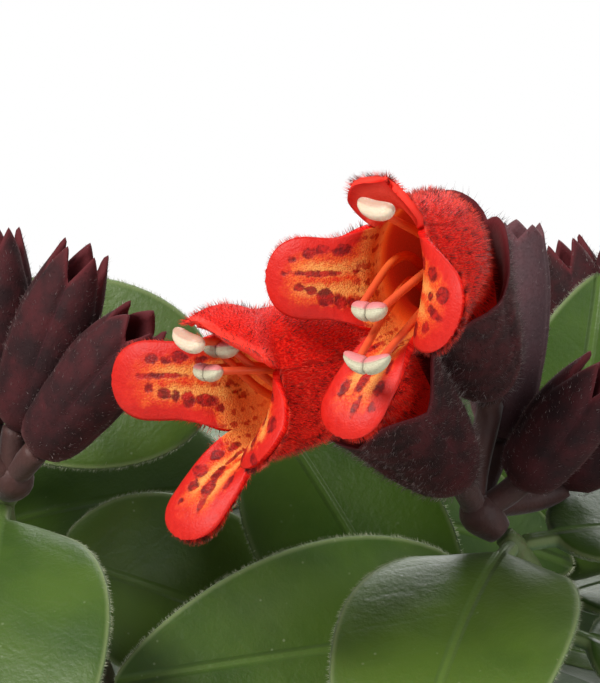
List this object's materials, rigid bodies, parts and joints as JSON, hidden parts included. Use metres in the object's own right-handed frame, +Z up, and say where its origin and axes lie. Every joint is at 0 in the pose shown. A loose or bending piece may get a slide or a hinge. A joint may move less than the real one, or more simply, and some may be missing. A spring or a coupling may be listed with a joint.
{
  "type": "potted lipstick plant",
  "caption": "Trailing house plant in flower in a plain tapered pot: thick oval leaves on arching stems, dark hairy calyx cups and red two-lipped blooms.",
  "frame": {"origin": "middle of the pot's flat foot", "axes": "+Z up, -Y is the front, where the pair of large blooms faces the viewer, +X is to the viewer's right"},
  "size_m": [0.2545, 0.2412, 0.2066],
  "materials": {
    "pot_clay": "matte, terracotta colour",
    "soil": "crumbly potting soil",
    "leaf_green": "thick leaves with a soft sheen",
    "calyx_maroon": "finely haired",
    "petal_red": "velvety, short haired",
    "anther_cream": "matte"
  },
  "bodies": {
    "root": {"calyx_bunch_1": "calyx_maroon", "calyx_bunch_10": "calyx_maroon", "calyx_bunch_13": "calyx_maroon", "calyx_bunch_14": "calyx_maroon", "calyx_bunch_2": "calyx_maroon", "calyx_bunch_3": "calyx_maroon", "calyx_bunch_5": "calyx_maroon", "calyx_bunch_6": "calyx_maroon", "calyx_bunch_8": "calyx_maroon", "leafy_stem_1": "leaf_green", "leafy_stem_10": "leaf_green", "leafy_stem_11": "leaf_green", "leafy_stem_12": "leaf_green", "leafy_stem_13": "leaf_green", "leafy_stem_14": "leaf_green", "leafy_stem_15": "leaf_green", "leafy_stem_16": "leaf_green", "leafy_stem_17": "leaf_green", "leafy_stem_18": "leaf_green", "leafy_stem_19": "leaf_green", "leafy_stem_2": "leaf_green", "leafy_stem_3": "leaf_green", "leafy_stem_4": "leaf_green", "leafy_stem_5": "leaf_green", "leafy_stem_6": "leaf_green", "leafy_stem_7": "leaf_green", "leafy_stem_8": "leaf_green", "leafy_stem_9": "leaf_green", "petals_10": "petal_red", "petals_13": "petal_red", "petals_1a": "petal_red", "petals_1b": "petal_red", "petals_6": "petal_red", "petals_8": "petal_red", "pot": "pot_clay", "soil": "soil", "stamens_10": "anther_cream", "stamens_13": "anther_cream", "stamens_1a": "anther_cream", "stamens_1b": "anther_cream", "stamens_6": "anther_cream", "stamens_8": "anther_cream"}
  },
  "joints": []
}
